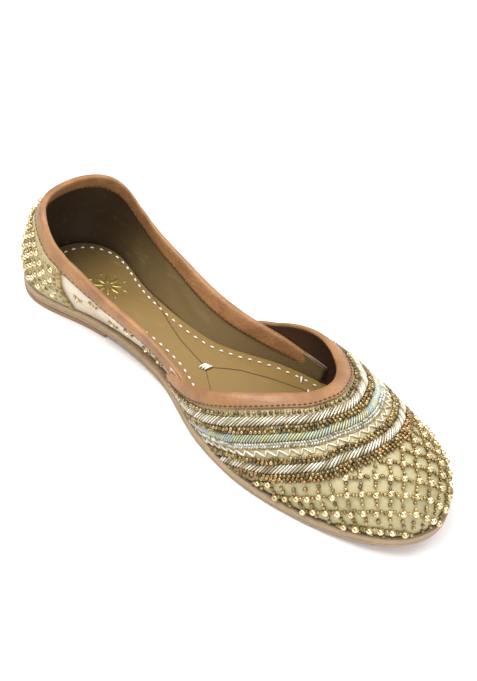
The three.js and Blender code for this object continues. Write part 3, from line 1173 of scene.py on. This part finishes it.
@dataclass
class Bindings:
    """Folded leather strips over the throat and the collar, with their stitches."""

    last: Last
    throat_width: float = 6
    collar_width: float = 6.5
    thick: float = 1.0
    proud: float = 0.3
    collar_leg: float = 0.95
    taper: float = 0.7
    seam_rise: float = 0.3
    seam_pitch: float = 2.3
    throat_pitch: float = 2.3
    collar_pitch: float = 2.6
    fold_from: float = 0.42
    fold_to: float = 0.46

    def throat(self) -> None:
        """The strip over the throat's edge."""
        face = -self.proud - self.thick
        ring = np.array(
            [
                (self.throat_width, -0.05),
                (self.throat_width - 0.1, face * 0.7),
                (self.throat_width - 0.7, face * 0.92),
                (self.throat_width - 1.3, face * 0.84),
                (self.throat_width - 2.2, face),
                (1.6, face * 1.08),
                (0.2, face * 1.02),
                (-0.8, face * 0.7),
                (-1.3, 0.0),
                (-1.2, 0.8),
                (-0.5, 1.25),
                (0.6, 1.42),
                (1.2, 1.3),
                (0.2, -0.05),
            ]
        )

        def place(along: np.ndarray, pair: np.ndarray) -> np.ndarray:
            across = 2 * along - 1
            return self.last.on_vamp(across, self.last.down_at(across, pair[:, 0]), pair[:, 1])

        strip = as_object(wrapped(150, ring, place), "throat_binding", TAN.material())
        ready(strip, ["vamp_binding"])
        across = np.linspace(-0.985, 0.985, 400)
        down = self.last.down_at(across, self.throat_width - 1.2)
        share = evenly(self.last.on_vamp(across, down, 0.0), self.throat_pitch)
        spots = np.linspace(0, 1, 400)
        across, down = np.interp(share, spots, across), np.interp(share, spots, down)
        at, away = frames(self.last.on_vamp, across, down, face * 0.84)
        dashes = Spots.of(at, drift(at), away, (1.8, 0.7, 0.4))
        ready(scattered("throat_stitches", Shape.STRAND, dashes, BROWN_COTTON.material()))

    def collar_point(self, where: np.ndarray, distance: np.ndarray, depth: np.ndarray) -> np.ndarray:
        """A point at a distance below the collar's edge and a depth in from the quarter's face."""
        turn = np.abs(where)
        rise = np.maximum(self.last.top_edge(turn) - distance, 3.4)
        return self.last.on_wall(where, rise, self.last.quarter_skin(turn) + depth)

    def collar(self) -> None:
        """The strip over the quarter's top edge; inside the vamp its outer leg lies flat in the wall."""
        leg = self.collar_leg
        outer, inner, wide = -leg, self.last.wall + leg, self.collar_width
        middle = (outer + inner) / 2
        ring = np.array(
            [
                (wide, -0.1),
                (wide - 0.1, outer * 0.75),
                (wide - 1.2, outer * 0.9),
                (wide - 2.6, outer),
                (1, outer),
                (-0.6, outer * 0.75),
                (-1.3, outer * 0.2),
                (-1.6, middle),
                (-1.3, inner - 0.7),
                (-0.6, inner - 0.25),
                (1, inner),
                (wide - 2.6, inner),
                (wide - 1.2, inner - 0.1),
                (wide - 0.1, inner - 0.4),
                (wide, self.last.wall + 0.1),
                (0.3, middle),
            ]
        )

        def place(along: np.ndarray, pair: np.ndarray) -> np.ndarray:
            where = (2 * along - 1) * self.last.quarter_reach
            under = smooth(self.fold_from, self.fold_to, along_of(np.abs(where)))
            depth = np.where(pair[:, 1] < 0.2, pair[:, 1] + (0.2 - pair[:, 1]) * under, pair[:, 1])
            ending = self.taper * smooth(0.86, 1, np.abs(2 * along - 1))
            depth = depth + (middle - depth) * ending
            return self.collar_point(where, pair[:, 0] + (0.5 * wide - pair[:, 0]) * ending * 0.5, depth)

        strip = as_object(wrapped(220, ring, place), "collar_binding", TAN.material())
        ready(strip, ["quarter_binding"])
        self.collar_stitches(outer, inner)

    def collar_stitches(self, outer: float, inner: float) -> None:
        """Thread along the strip's outer leg and pricked holes along its inner one."""
        reach = self.last.quarter_reach
        limit = float(turn_of(self.fold_from))
        rows = (
            (self.collar_width - 1.3, outer * 0.92, limit),
            (self.collar_width - 1.1, inner - 0.08, reach * 0.99),
        )
        pricks = None
        for distance, depth, end in rows:
            where = np.linspace(-end, end, 500)
            path = self.collar_point(where, distance, depth)
            share = evenly(path, self.collar_pitch)
            place = np.interp(share, np.linspace(0, 1, 500), where)
            at = self.collar_point(place, distance, depth)
            deeper = self.collar_point(place, distance, depth + 1) - at
            away = unit(deeper) * (1 if depth > 0 else -1)
            row = Spots.of(at, drift(at), away, (1.3, 0.5, 0.22))
            pricks = row if pricks is None else pricks + row
        ready(scattered("collar_stitches", Shape.STRAND, pricks, BROWN_COTTON.material()))

    def foot_seam(self) -> None:
        """Dark sewing thread drawn down between the vamp's foot and the sole: the seam there, and a painted
        shadow line in the gap.
        """
        rows = None
        for side in (-1, 1):
            where = side * np.linspace(float(self.last.rear_turn) + 0.01, 0.994, 500)
            low = np.full(500, self.seam_rise)
            share = evenly(self.last.on_wall(where, low, -0.1), self.seam_pitch)
            place = np.interp(share, np.linspace(0, 1, 500), where)
            at, away = frames(self.last.on_wall, place, np.full(len(place), self.seam_rise), -0.1)
            row = Spots.of(at, drift(at), away, (2.6, 0.75, 0.5))
            rows = row if rows is None else rows + row
        # The dark thread also serves as a painted shadow line in the gap between the vamp's foot and the
        # sole.
        thread = scattered("foot_seam_thread", Shape.STRAND, rows, BROWN_COTTON.material())
        ready(thread)

    def build(self) -> None:
        """Makes both strips and the seam thread at the foot, which also paints the shadow line in the gap
        there.
        """
        self.throat()
        self.collar()
        self.foot_seam()


class Work(Enum):
    """Ways of filling a band of embroidery."""

    BEADS = "beads"
    BULLION = "bullion"
    RAINBOW = "rainbow"
    CRIMP = "crimp"
    ZIGZAG = "zigzag"


class Band(NamedTuple):
    """A band of embroidery that follows the throat, between two distances from its edge."""

    work: Work
    near: float
    far: float
    rows: int


BANDS = (
    Band(Work.BEADS, 6.9, 9.0, 1),
    Band(Work.BULLION, 9.4, 13.9, 1),
    Band(Work.BEADS, 14.2, 17.0, 2),
    Band(Work.RAINBOW, 17.1, 21.0, 1),
    Band(Work.CRIMP, 21.0, 23.4, 2),
    Band(Work.ZIGZAG, 23.6, 27.6, 1),
    Band(Work.BEADS, 27.7, 30.4, 2),
    Band(Work.BULLION, 30.6, 34.9, 1),
    Band(Work.BEADS, 35.1, 39.4, 3),
)


# The middle of the open throat, towards which a band's inner side faces.
THROAT_MIDDLE = np.array([10.0, 0.0, 30.0])


@dataclass
class Embroidery:
    """The vamp's bands of beads and metal thread, and the beaded net over its toe."""

    last: Last
    seed: int = 7
    small: float = 1.95
    large: float = 3.3
    middling: float = 1.85
    net_pitch: float = 6.5
    net_start: float = 39.8
    edge_margin: float = 0.9
    strand_slant: float = 38
    spots: dict[str, Spots] = field(default_factory=dict)

    def __post_init__(self) -> None:
        """Seeds the small irregularities of hand work."""
        self.chance = np.random.default_rng(self.seed)

    def add(self, key: str, spots: Spots) -> None:
        """Collects spots for one finish."""
        self.spots[key] = self.spots[key] + spots if key in self.spots else spots

    def course(self, distance: float, pitch: float, start: float = 0.0) -> tuple[np.ndarray, ...]:
        """Even places along a line that follows the throat.

        Args:
            distance: from the throat's edge.
            pitch: between places.
            start: of the first place, along the line.

        Returns:
            Points, directions of travel, directions away, and each point's share of the line.
        """
        across = np.linspace(-1, 1, 401)
        down = self.last.down_at(across, distance)
        keep = down < 0.975
        across, down = across[keep], down[keep]
        share = evenly(self.last.on_vamp(across, down, 0.0), pitch, start)
        spots = np.linspace(0, 1, len(across))
        first, second = np.interp(share, spots, across), np.interp(share, spots, down)
        at, away = frames(self.last.on_vamp, first, second, 0.0)
        return at, drift(at), away, np.interp(share, spots, (across + 1) / 2)

    def bead_row(self, band: Band) -> None:
        """Rows of small beads, packed by hand and so a little uneven."""
        step = (band.far - band.near) / band.rows
        for row in range(band.rows):
            middle = band.near + step * (row + 0.5)
            pitch = self.small * (1.05 if band.rows > 1 else 1.25)
            at, travel, away, _ = self.course(middle, pitch, pitch * (0.3 + 0.5 * (row % 2)))
            count = len(at)
            side = np.cross(away, travel)
            at = at + side * self.chance.normal(0, 0.16, (count, 1))
            at = at + travel * self.chance.normal(0, 0.12, (count, 1))
            size = self.small * self.chance.normal(1, 0.07, (count, 1)) * np.ones((1, 3))
            tint = self.chance.random(count) ** 0.8
            copper = self.chance.random(count) < (0.5 if band.near > 34 else 0.12)
            for key, chosen in (("copper_beads", copper), ("band_beads", ~copper)):
                self.add(key, Spots.of(at[chosen], travel[chosen], away[chosen], size[chosen], tint[chosen]))

    def slanted(self, key: str, band: Band, pitch: float, width: float, slant: float, lift: float) -> None:
        """Strands laid side by side across a band at a slant."""
        at, travel, away, share = self.course((band.near + band.far) / 2, pitch, pitch / 2)
        inward = np.cross(away, travel)
        inward *= np.sign((inward * (THROAT_MIDDLE - at)).sum(-1, keepdims=True))
        angle = math.radians(slant)
        along = travel * math.cos(angle) + inward * math.sin(angle)
        reach = (band.far - band.near) / math.sin(angle)
        count = len(at)
        tint = self.chance.random(count) ** 1.2
        if key == "rainbow_floss":
            tint = np.clip(share + self.chance.normal(0, 0.075, count), 0, 1)
        size = np.array([reach, width, lift]) * self.chance.normal(1, 0.04, (count, 3))
        self.add(key, Spots.of(at + away * 0.15, along, away, size, tint))

    def crimp(self, band: Band) -> None:
        """A braid of white wire: two rows of short strands leaning against each other."""
        step = (band.far - band.near) / band.rows
        for row in range(band.rows):
            lane = Band(band.work, band.near + step * row, band.near + step * (row + 1), 1)
            self.slanted("white_crimp", lane, 1.25, 0.85, 48 if row else 132, 0.9)

    def zigzag(self, band: Band) -> None:
        """Silver thread worked in points, with a couched line at either side."""
        pitch = 2.6
        low = self.course(band.near + 0.5, pitch, 0.0)
        high = self.course(band.far - 0.6, pitch, 0.0)
        count = min(len(low[0]), len(high[0]))
        shares = low[3][:count]
        order = [np.argmin(np.abs(high[3] - s)) for s in shares]
        zig = np.where((np.arange(count) % 2 == 0)[:, None], low[0][:count], high[0][order])
        legs = np.diff(zig, axis=0)
        away = low[2][: count - 1]
        reach = np.linalg.norm(legs, axis=1) * 1.08
        size = np.stack([reach, np.full(count - 1, 0.95), np.full(count - 1, 0.8)], -1)
        tint = self.chance.random(count - 1) * 0.6
        self.add("silver_bullion", Spots.of((zig[1:] + zig[:-1]) / 2 + away * 0.1, legs, away, size, tint))
        at, travel, away, _ = self.course(band.near + 0.1, 1.5, 0.2)
        self.add("gold_cord", Spots.of(at, travel, away, (1.9, 0.5, 0.4), self.chance.random(len(at))))

    def padding(self) -> None:
        """Rounded pads of felt under the bullion and the floss."""
        finish = Leather("padding_felt", (0.2, 0.15, 0.065), (0.1, 0.07, 0.03), 0.85).material()
        for band in BANDS:
            if band.work in (Work.BULLION, Work.RAINBOW):
                self.pad(band, finish)

    def pad(self, band: Band, finish: bpy.types.Material) -> None:
        """One band's pad: a low ridge that stops at the foot."""
        middle, half = (band.near + band.far) / 2, (band.far - band.near) / 2
        angles = np.linspace(0, math.pi, 7)
        arch = [(middle - half * math.cos(a), -0.55 * math.sin(a)) for a in angles]
        ring = np.array(arch + [(middle, 0.12)])
        across = np.linspace(-1, 1, 401)
        ends = across[self.last.down_at(across, band.far) < 0.98]

        def place(along: np.ndarray, pair: np.ndarray) -> np.ndarray:
            where = ends[0] + (ends[-1] - ends[0]) * along
            down = np.minimum(self.last.down_at(where, pair[:, 0]), 0.99)
            return self.last.on_vamp(where, down, pair[:, 1])

        name = f"{band.work.value}_pad_{round(band.near)}"
        ready(as_object(wrapped(120, ring, place), name, finish))

    def net_point(self, forward: np.ndarray, girth: np.ndarray) -> tuple[np.ndarray, ...]:
        """Places of the net on the vamp.

        Args:
            forward: distances along the crest.
            girth: distances round the section from the crest.

        Returns:
            Turns, sides, and whether each place lies on the vamp's toe.
        """
        turns = np.linspace(float(turn_of(0.55)), 0.996, 500)
        crest = self.last.on_section(turns, np.zeros(500), 0.0)
        run = np.concatenate([[0], np.cumsum(np.linalg.norm(np.diff(crest, axis=0), axis=1))])
        turn = np.interp(forward, run, turns)
        sides = np.linspace(0, 1, 160)
        ring = self.last.on_section(turn[:, None], sides[None, :], 0.0)
        around = np.cumsum(np.linalg.norm(np.diff(ring, axis=1), axis=2), axis=1)
        around = np.concatenate([np.zeros((len(turn), 1)), around], axis=1)
        side = np.array([np.interp(abs(g), a, sides) for g, a in zip(girth, around)])
        inside = (np.abs(girth) < around[:, -1] - self.edge_margin) & (forward < run[-1] - 0.5)
        return turn, side * np.sign(girth), inside & (turn > self.net_edge(side))

    def net_edge(self, side: np.ndarray) -> np.ndarray:
        """The least turn that is clear of the last band, at each side."""
        across = np.linspace(0, 1, 201)
        down = self.last.down_at(across, self.net_start)
        keep = down < 1
        turn, at_side = self.last.vamp_place(across[keep], down[keep])
        order = np.argsort(at_side)
        return np.interp(side, at_side[order], turn[order])

    def net(self) -> None:
        """Large beads at the crossings of a diagonal net, with smaller ones strung between them."""
        half = self.net_pitch / math.sqrt(2)
        i, j = (a.ravel() for a in np.meshgrid(np.arange(-16, 34), np.arange(-16, 34)))
        base = np.stack([(i + j) * half, (i - j) * half], axis=-1)
        strung = [((0.0, 0.0), "net_beads")]
        strung += [(place, "between") for k in (0.37, 0.63) for place in ((k, 0.0), (0.0, k))]
        for (a, b), key in strung:
            grid = base + np.array([(a + b) * half, (a - b) * half])
            grid = grid[(grid[:, 0] > 0) & (grid[:, 0] < 140) & (np.abs(grid[:, 1]) < 75)]
            grid += self.chance.normal(0, 0.28, grid.shape)
            turn, side, inside = self.net_point(grid[:, 0], grid[:, 1])
            at, away = frames(self.last.on_section, turn[inside], side[inside], 0.0)
            count = len(at)
            wide = self.large if key == "net_beads" else self.middling
            size = wide * self.chance.normal(1, 0.05, (count, 1)) * np.ones((1, 3))
            travel = unit(np.cross(away, np.tile([0.3, 1.0, 0.2], (count, 1))))
            self.add(key, Spots.of(at, travel, away, size, self.chance.random(count) * 0.8))

    def build(self) -> None:
        """Works every band, then the net, then joins each kind of bead and thread."""
        self.padding()
        for band in BANDS:
            if band.work is Work.BEADS:
                self.bead_row(band)
            elif band.work is Work.BULLION:
                self.slanted("silver_bullion", band, 1.75, 0.98, self.strand_slant, 1.25)
            elif band.work is Work.RAINBOW:
                self.slanted("rainbow_floss", band, 1.35, 0.85, 50, 1.05)
            elif band.work is Work.CRIMP:
                self.crimp(band)
            else:
                self.zigzag(band)
        self.net()
        for key, shape, finish in (
            ("band_beads", Shape.BEAD, ANTIQUE),
            ("copper_beads", Shape.BEAD, COPPER),
            ("net_beads", Shape.BEAD, GOLD),
            ("between", Shape.BEAD, ANTIQUE),
            ("silver_bullion", Shape.STRAND, SILVER_WIRE),
            ("rainbow_floss", Shape.STRAND, RAINBOW),
            ("white_crimp", Shape.STRAND, CRIMP_WIRE),
            ("gold_cord", Shape.STRAND, GOLD_WIRE),
        ):
            piece = scattered(f"vamp_{key}", shape, self.spots[key], finish.material())
            ready(piece)


@dataclass
class HeelCloth:
    """The beaded cloth round the heel, its corded edge, and the sprays of beads on the quarter."""

    last: Last
    seed: int = 11
    end: float = 0.175
    depth: float = -0.62
    thick: float = 0.9
    binding: float = 6.9
    pitch: float = 4.9
    spray_stand: float = 0.45

    def cloth(self) -> None:
        """The cloth itself, stiffened, lying on the quarter."""
        ring = two_faced(24, self.depth - self.thick + 0.4, -0.04)
        reach = float(turn_of(self.end))

        def place(along: np.ndarray, pair: np.ndarray) -> np.ndarray:
            where = (2 * along - 1) * reach
            top = self.last.top_edge(np.abs(where)) - self.binding + 0.6
            return self.last.on_wall(where, 0.3 + (top - 0.3) * pair[:, 0], pair[:, 1])

        cloth = as_object(wrapped(110, ring, place), "heel_counter_silk", COUNTER_SILK.material())
        ready(cloth, ["heel_counter"])

    def beads(self) -> None:
        """Large and small beads in a close net over the cloth."""
        chance = np.random.default_rng(self.seed)
        skin = self.depth - self.thick + 0.4
        reach = float(turn_of(self.end)) * 0.985
        where = np.linspace(-reach, reach, 600)
        path = self.last.on_wall(where, np.full(600, 16.0), skin)
        run = np.concatenate([[0], np.cumsum(np.linalg.norm(np.diff(path, axis=0), axis=1))])
        half = self.pitch / math.sqrt(2)
        i, j = (a.ravel() for a in np.meshgrid(np.arange(-30, 31), np.arange(-30, 31)))
        for name, shift, wide, finish in (
            ("heel_net_beads", ((0.0, 0.0),), 3.1, GOLD),
            ("heel_small_beads", ((0.5, 0.0), (0.0, 0.5)), 1.9, ANTIQUE),
        ):
            found = []
            for a, b in shift:
                s = run[-1] / 2 + (i + j + a + b) * half
                rise = 18 + (i - j + a - b) * half
                inside = (s > 1.2) & (s < run[-1] - 1.2) & (rise > 2.2)
                s, rise = s[inside] + chance.normal(0, 0.25, inside.sum()), rise[inside]
                rise = rise + chance.normal(0, 0.25, len(rise))
                place = np.interp(s, run, where)
                keep = rise < self.last.top_edge(np.abs(place)) - self.binding - wide / 2 + 0.4
                found.append(np.stack([place[keep], rise[keep]], axis=-1))
            spots = np.concatenate(found)
            at, away = frames(self.last.on_wall, spots[:, 0], spots[:, 1], skin)
            size = wide * chance.normal(1, 0.06, (len(at), 1)) * np.ones((1, 3))
            up = np.tile(UP, (len(at), 1))
            made = Spots.of(at, up, away, size, chance.random(len(at)) * 0.8)
            ready(scattered(name, Shape.BEAD, made, finish.material()))

    def cord(self) -> None:
        """A looped gold cord down each front edge of the cloth."""
        chance = np.random.default_rng(self.seed + 1)
        skin = self.depth - self.thick + 0.5
        parts = []
        for side in (-1, 1):
            turn = float(turn_of(self.end))
            top = float(self.last.top_edge(np.array(turn))) - self.binding
            rise = np.arange(1.2, top + 0.2, 1.05)
            where = np.full(len(rise), side * turn)
            at, away = frames(self.last.on_wall, where, rise, skin)
            ahead = self.last.on_wall(where + side * 0.01, rise, skin) - at
            size = np.array([3.1, 1.0, 1.0]) * chance.normal(1, 0.05, (len(rise), 3))
            parts.append(Spots.of(at, ahead, away, size, chance.random(len(rise))))
        cord = scattered("heel_edge_cord", Shape.STRAND, parts[0] + parts[1], GOLD_WIRE.material())
        ready(cord)

    def sprays(self) -> None:
        """Sprays of four beads dotted along the quarter."""
        chance = np.random.default_rng(self.seed + 2)
        rows = ((0.21, 0.36), (0.25, 0.5), (0.29, 0.3), (0.33, 0.46), (0.37, 0.3), (0.41, 0.42))
        ring = ((0.0, 0.0), (1.0, 0.0), (-0.5, 0.87), (-0.5, -0.87))
        large, small = [], []
        for side in (-1, 1):
            for along, share in rows:
                turn = float(turn_of(along))
                rise = share * float(self.last.top_edge(np.array(turn)))
                for k, (ahead, above) in enumerate(ring):
                    spot = (side * (turn + ahead * 0.0062), rise + above * 1.7 + 1.2)
                    (small if k else large).append(spot)
        for name, spots, wide, finish in (
            ("quarter_spray_beads", large, 2.3, GOLD),
            ("quarter_spray_seeds", small, 1.5, ANTIQUE),
        ):
            places = np.array(spots)
            skin = self.last.quarter_skin(np.abs(places[:, 0]))
            _, away = frames(self.last.on_wall, places[:, 0], places[:, 1], 0.0)
            at = self.last.on_wall(places[:, 0], places[:, 1], skin) + away * self.spray_stand
            up = np.tile(UP, (len(at), 1))
            made = Spots.of(at, up, away, wide, chance.random(len(at)) * 0.6)
            ready(scattered(name, Shape.BEAD, made, finish.material()))

    def build(self) -> None:
        """Makes the cloth and everything sewn round the heel."""
        self.cloth()
        self.beads()
        self.cord()
        self.sprays()


# ---- the studio ----


@dataclass(frozen=True)
class Studio:
    """A pale floor, soft light and the camera."""

    eye: tuple[float, float, float] = (239.5, -376.8, 414.2)
    aim: tuple[float, float, float] = (-0.4039, 0.6424, -0.6513)
    roll: float = 12.8
    lens: float = 68.2

    def floor(self) -> None:
        """A wide matt floor."""
        bm = bmesh.new()
        bmesh.ops.create_grid(bm, x_segments=8, y_segments=8, size=2600)
        g = Graph("studio_paper")
        shade = g.noise(60, 2)
        paper = g.finish(Base_Color=g.mix(shade * 0.1, (0.93, 0.93, 0.92), (0.9, 0.9, 0.89)), Roughness=0.85)
        as_object(bm, "studio_floor", paper)

    def light(self) -> None:
        """A pale surround, brighter overhead, with a key and a fill."""
        world = bpy.data.worlds.new("studio")
        bpy.context.scene.world = world
        world.use_nodes = True
        nodes, links = world.node_tree.nodes, world.node_tree.links
        where, split = nodes.new("ShaderNodeTexCoord"), nodes.new("ShaderNodeSeparateXYZ")
        ramp = nodes.new("ShaderNodeValToRGB")
        stops = tuple((at, (grey, grey, grey)) for at, grey in ((0.0, 0.5), (0.45, 0.3), (1.0, 1.15)))
        Graph.fill_ramp(ramp.color_ramp, stops)
        links.new(where.outputs["Generated"], split.inputs[0])
        links.new(split.outputs["Z"], ramp.inputs[0])
        links.new(ramp.outputs[0], nodes["Background"].inputs["Color"])
        for name, spot, size, power in (
            ("key", (-0.35, -0.25, 0.95), 0.55, 10.0),
            ("fill", (0.9, -0.5, 0.7), 0.9, 6.0),
            ("rim", (0.2, 0.95, 0.6), 0.7, 5.0),
        ):
            lamp = bpy.data.lights.new(name, "AREA")
            lamp.size = size
            lamp.energy = power
            holder = bpy.data.objects.new(name, lamp)
            holder.location = spot
            holder.rotation_euler = (-Vector(spot)).to_track_quat("-Z", "Y").to_euler()
            bpy.context.scene.collection.objects.link(holder)

    def camera(self) -> None:
        """The camera, rolled to the shoe's stance."""
        data = bpy.data.cameras.new("camera")
        data.lens = self.lens
        data.sensor_width = 36
        holder = bpy.data.objects.new("camera", data)
        forward = Vector(self.aim).normalized()
        right = forward.cross(Vector((0, 0, 1))).normalized()
        up = right.cross(forward)
        turn = math.radians(self.roll)
        side = right * math.cos(turn) + up * math.sin(turn)
        top = up * math.cos(turn) - right * math.sin(turn)
        pose = Matrix((side, top, -forward)).transposed().to_4x4()
        pose.translation = Vector(self.eye) * MM
        holder.matrix_world = pose
        bpy.context.scene.collection.objects.link(holder)
        bpy.context.scene.camera = holder
        bpy.context.scene.view_settings.view_transform = "Standard"

    def build(self) -> None:
        """Sets up the studio."""
        self.floor()
        self.light()
        self.camera()


def main() -> None:
    """Builds the shoe piece by piece in its studio."""
    logging.basicConfig(level=logging.INFO, format="%(name)s: %(message)s")
    low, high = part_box("outsole")
    last = Last(length=(high.x - low.x) / MM)
    Studio().build()
    bottom = Bottom(last)
    bottom.build()
    bottom.dress()
    Upper(last).build()
    Bindings(last).build()
    Embroidery(last).build()
    HeelCloth(last).build()


if __name__ == "__main__":
    main()
